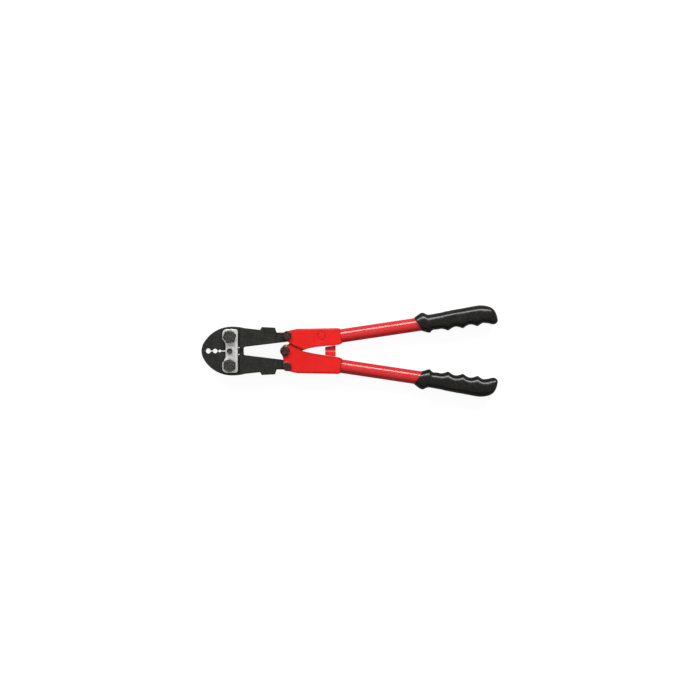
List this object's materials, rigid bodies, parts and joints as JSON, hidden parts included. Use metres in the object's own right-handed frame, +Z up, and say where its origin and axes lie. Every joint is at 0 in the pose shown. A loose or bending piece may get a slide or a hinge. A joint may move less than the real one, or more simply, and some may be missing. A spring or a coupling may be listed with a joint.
{
  "type": "bolt cutters",
  "caption": "Two-handed compound-lever hand tool of bolt-cutter form, with a linked pair of forged swaging jaws, red tube handles and rubber grips.",
  "frame": {"origin": "on the plane the tool lies on, under the middle of its bounding box, handles closed", "axes": "+X from the jaws towards the grips, +Y across the tool towards the upper handle, +Z up from the plane the tool lies on, along its bolts"},
  "size_m": [0.446, 0.1382, 0.0337],
  "materials": {
    "forged_steel": "forged steel, black phosphate finish",
    "zinc_plate": "zinc plated, lightly brushed",
    "black_oxide": "black oxide on turned steel",
    "bronzed_steel": "brown-black oxide on turned steel",
    "red_paint": "satin red enamel on pressed steel",
    "red_enamel": "gloss red enamel on steel tube",
    "black_rubber": "moulded black rubber"
  },
  "bodies": {
    "head": {"front_link_plate": "zinc_plate", "rear_link_plate": "zinc_plate", "upper_jaw_bolt": "black_oxide", "lower_jaw_bolt": "black_oxide", "upper_jaw_nut": "black_oxide", "lower_jaw_nut": "black_oxide", "centre_block": "forged_steel", "centre_screw": "black_oxide", "centre_nut": "black_oxide"},
    "upper_jaw": {"upper_jaw": "forged_steel"},
    "lower_jaw": {"lower_jaw": "forged_steel"},
    "upper_handle": {"upper_bracket": "red_paint", "upper_stop": "red_paint", "upper_tube": "red_enamel", "upper_grip": "black_rubber", "upper_link_bolt": "bronzed_steel", "upper_link_washer": "zinc_plate", "upper_link_nut": "bronzed_steel"},
    "lower_handle": {"lower_bracket": "red_paint", "lower_stop": "red_paint", "lower_tube": "red_enamel", "lower_grip": "black_rubber", "lower_link_bolt": "bronzed_steel", "lower_link_washer": "zinc_plate", "lower_link_nut": "bronzed_steel", "pivot_bolt": "bronzed_steel", "pivot_spacer": "zinc_plate", "pivot_washer": "zinc_plate", "pivot_nut": "bronzed_steel"}
  },
  "joints": [
    {"name": "upper_jaw_swing", "type": "hinge", "parent": "head", "child": "upper_jaw", "pos_m": [-0.18022, 0.0216, 0.0166], "axis": [0, 0, 1], "range_deg": [-4, 0]},
    {"name": "lower_jaw_swing", "type": "hinge", "parent": "head", "child": "lower_jaw", "pos_m": [-0.18022, -0.0216, 0.0166], "axis": [0, 0, 1], "range_deg": [0, 4]},
    {"name": "upper_handle_swing", "type": "hinge", "parent": "upper_jaw", "child": "upper_handle", "pos_m": [-0.09422, 0.0231, 0.0166], "axis": [0, 0, 1], "range_deg": [0, 53.97]},
    {"name": "lower_handle_swing", "type": "hinge", "parent": "lower_jaw", "child": "lower_handle", "pos_m": [-0.09422, -0.0231, 0.0166], "axis": [0, 0, 1], "range_deg": [-54, 0]}
  ],
  "couplings": [
    {"joint": "upper_jaw_swing", "follows": "upper_handle_swing", "ratio": -0.073511},
    {"joint": "lower_jaw_swing", "follows": "upper_handle_swing", "ratio": 0.073511},
    {"joint": "lower_handle_swing", "follows": "upper_handle_swing", "ratio": -1}
  ]
}
